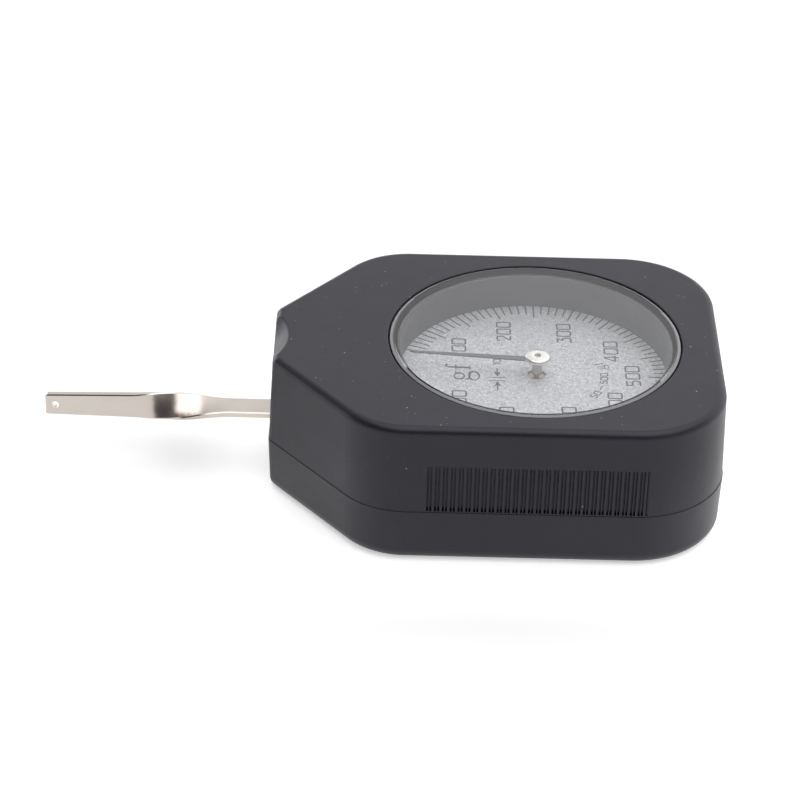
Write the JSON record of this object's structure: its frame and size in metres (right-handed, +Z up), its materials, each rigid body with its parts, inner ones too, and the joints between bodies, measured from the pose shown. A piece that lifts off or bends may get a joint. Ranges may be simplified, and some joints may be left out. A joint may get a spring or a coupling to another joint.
{
  "type": "dial force gauge",
  "caption": "Hand-held dial force gauge: flat two-part plastic case, clear lens over a round scale, one needle, and a sprung feeler lever in the nose that drives it through a sector and pinion.",
  "frame": {"origin": "where the needle's axis meets the underside of the case", "axes": "+Z up through the dial, with the gauge lying on its back; -X towards the feeler lever's tip; +Y across the case"},
  "size_m": [0.1062, 0.0542, 0.024],
  "materials": {
    "black_plastic": "fine spark-eroded texture, satin",
    "clear_acrylic": "clear, polished",
    "gasket_rubber": "matt",
    "dial_silver": "fine silver grain, satin",
    "plate_brass": "fine circular grain",
    "bush_bronze": "turned",
    "steel_screw": "turned, bright",
    "black_screw": "black oxide",
    "steel_shaft": "ground, bright",
    "spring_steel": "drawn wire",
    "lever_nickel": "satin nickel plate, fine lengthwise grain",
    "needle_grey": "dark grey, satin",
    "hub_nickel": "bright nickel plate"
  },
  "bodies": {
    "case": {"front_cover": "black_plastic", "rear_cover": "black_plastic", "case_screws": "black_screw", "lens": "clear_acrylic", "lens_gasket": "gasket_rubber", "dial_plate": "dial_silver", "dial_feet": "plate_brass", "back_plate": "plate_brass", "front_plate": "plate_brass", "plate_pillars": "plate_brass", "pillar_screws": "steel_screw", "movement_screws": "steel_screw", "lever_bush_rear": "bush_bronze", "lever_bush_front": "bush_bronze", "arbor_bush_rear": "bush_bronze", "arbor_bush_front": "bush_bronze", "limit_stops": "steel_shaft", "spring_posts": "steel_shaft", "hairspring_stud": "plate_brass"},
    "lever": {"feeler_lever": "lever_nickel", "sector_gear": "plate_brass", "lever_hub": "plate_brass", "hub_washer": "plate_brass", "lever_shaft": "steel_shaft", "lever_rivets": "steel_shaft", "spring_pin": "steel_shaft", "return_spring_upper": "spring_steel", "return_spring_lower": "spring_steel"},
    "needle": {"pinion_arbor": "steel_shaft", "hairspring_collet": "plate_brass", "hairspring": "spring_steel", "pointer": "needle_grey", "pointer_hub": "hub_nickel"}
  },
  "joints": [
    {"name": "lever_swing", "type": "hinge", "parent": "case", "child": "lever", "pos_m": [-0.0336, 0, 0.00987], "axis": [0, 0, 1], "range_deg": [-13.84, 13.84], "stiffness_Nm_per_rad": 0.86, "deforming": ["return_spring_upper", "return_spring_lower"]},
    {"name": "needle_spin", "type": "hinge", "parent": "case", "child": "needle", "pos_m": [0, 0, 0.019], "axis": [0, 0, 1], "range_deg": [-180, 180], "deforming": ["hairspring"]}
  ],
  "couplings": [
    {"joint": "needle_spin", "follows": "lever_swing", "ratio": -13}
  ]
}
